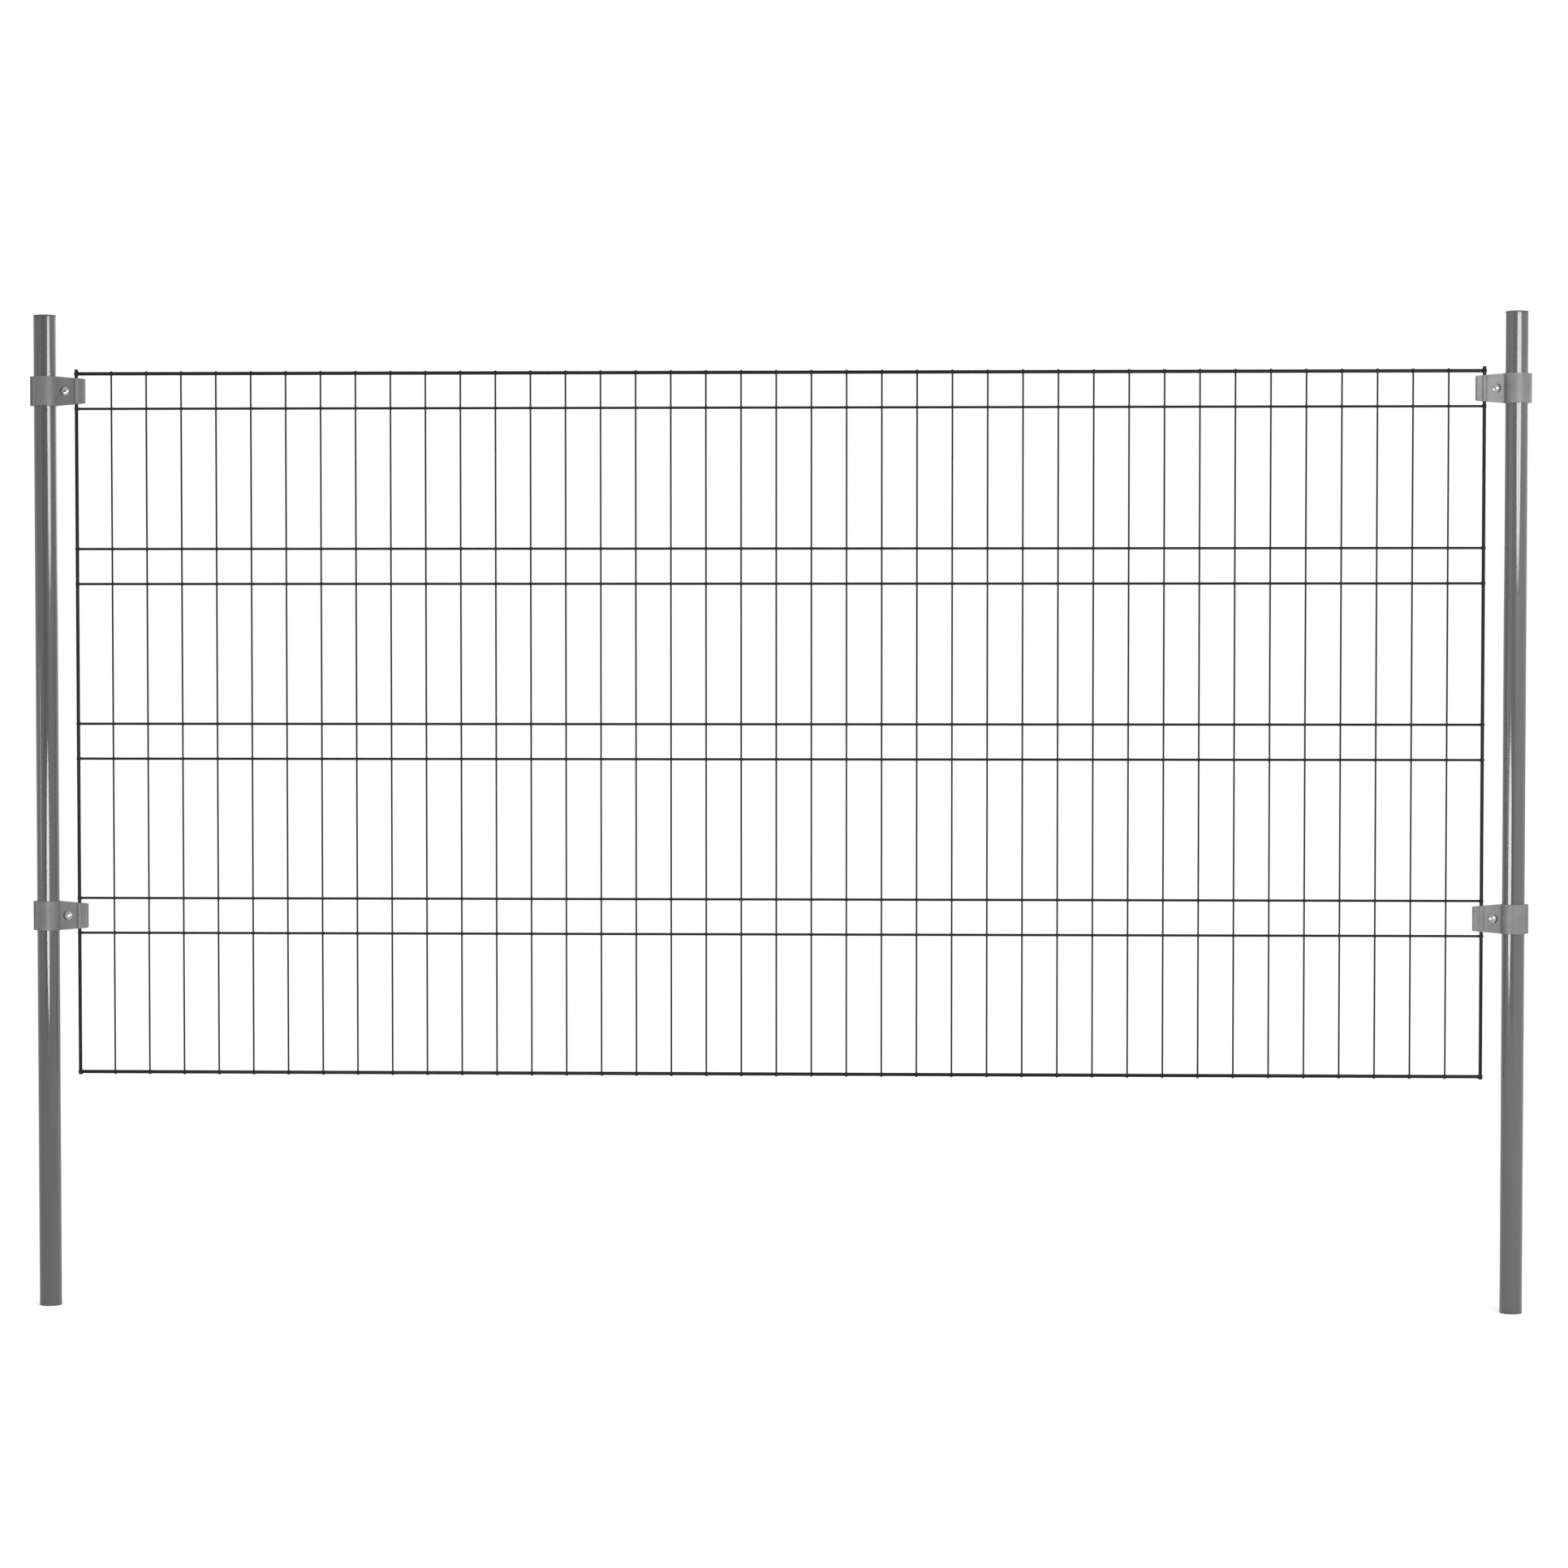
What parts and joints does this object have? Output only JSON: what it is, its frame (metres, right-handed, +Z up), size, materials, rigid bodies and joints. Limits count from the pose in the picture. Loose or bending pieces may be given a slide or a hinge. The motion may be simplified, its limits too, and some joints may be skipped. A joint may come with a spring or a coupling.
{
  "type": "mesh fence panel",
  "caption": "Flat welded wire mesh fence panel held at its edges between round tube posts by bolted two-shell clamps, for a garden or site boundary.",
  "frame": {"origin": "midway between the two posts, on their axes' plane, at the level of the post feet", "axes": "+X along the fence towards the right post, +Z up along the posts, front (uprights and bolt heads) towards -Y"},
  "size_m": [2.133, 0.0352, 1.42],
  "materials": {
    "post_finish": "smooth grey powder coat with a satin gloss",
    "cap_plastic": "grey moulded plastic",
    "wire_coating": "near-black powder coat over drawn wire",
    "clamp_finish": "satin grey coat over pressed steel",
    "zinc_fastener": "bright zinc plate"
  },
  "bodies": {
    "left_post": {"left_post": "post_finish", "left_post_cap": "cap_plastic"},
    "left_clamps": {"upper_left_clamp_front": "clamp_finish", "upper_left_clamp_rear": "clamp_finish", "upper_left_clamp_bolt": "zinc_fastener", "upper_left_clamp_washer": "zinc_fastener", "upper_left_clamp_nut": "zinc_fastener", "lower_left_clamp_front": "clamp_finish", "lower_left_clamp_rear": "clamp_finish", "lower_left_clamp_bolt": "zinc_fastener", "lower_left_clamp_washer": "zinc_fastener", "lower_left_clamp_nut": "zinc_fastener"},
    "panel": {"bottom_wire": "wire_coating", "top_wire": "wire_coating", "line_wire_1": "wire_coating", "line_wire_2": "wire_coating", "line_wire_3": "wire_coating", "line_wire_4": "wire_coating", "line_wire_5": "wire_coating", "line_wire_6": "wire_coating", "line_wire_7": "wire_coating", "left_edge_wire": "wire_coating", "right_edge_wire": "wire_coating", "upright_wires": "wire_coating"},
    "right_clamps": {"upper_right_clamp_front": "clamp_finish", "upper_right_clamp_rear": "clamp_finish", "upper_right_clamp_bolt": "zinc_fastener", "upper_right_clamp_washer": "zinc_fastener", "upper_right_clamp_nut": "zinc_fastener", "lower_right_clamp_front": "clamp_finish", "lower_right_clamp_rear": "clamp_finish", "lower_right_clamp_bolt": "zinc_fastener", "lower_right_clamp_washer": "zinc_fastener", "lower_right_clamp_nut": "zinc_fastener"},
    "right_post": {"right_post": "post_finish", "right_post_cap": "cap_plastic"}
  },
  "joints": [
    {"name": "left_height_slide", "type": "slide", "parent": "left_post", "child": "left_clamps", "axis": [0, 0, 1], "range_m": [-0.3, 0.08]},
    {"name": "left_panel_swing", "type": "hinge", "parent": "left_clamps", "child": "panel", "pos_m": [-1, 0, 0.836], "axis": [0, 0, 1], "range_deg": [-155, 145]},
    {"name": "right_clamp_swing", "type": "hinge", "parent": "panel", "child": "right_clamps", "pos_m": [1, 0, 0.836], "axis": [0, 0, 1], "range_deg": [-155, 145]},
    {"name": "right_post_slide", "type": "slide", "parent": "right_clamps", "child": "right_post", "axis": [0, 0, 1], "range_m": [-0.08, 0.3]}
  ],
  "couplings": [
    {"joint": "right_post_slide", "follows": "left_height_slide", "ratio": -1}
  ]
}
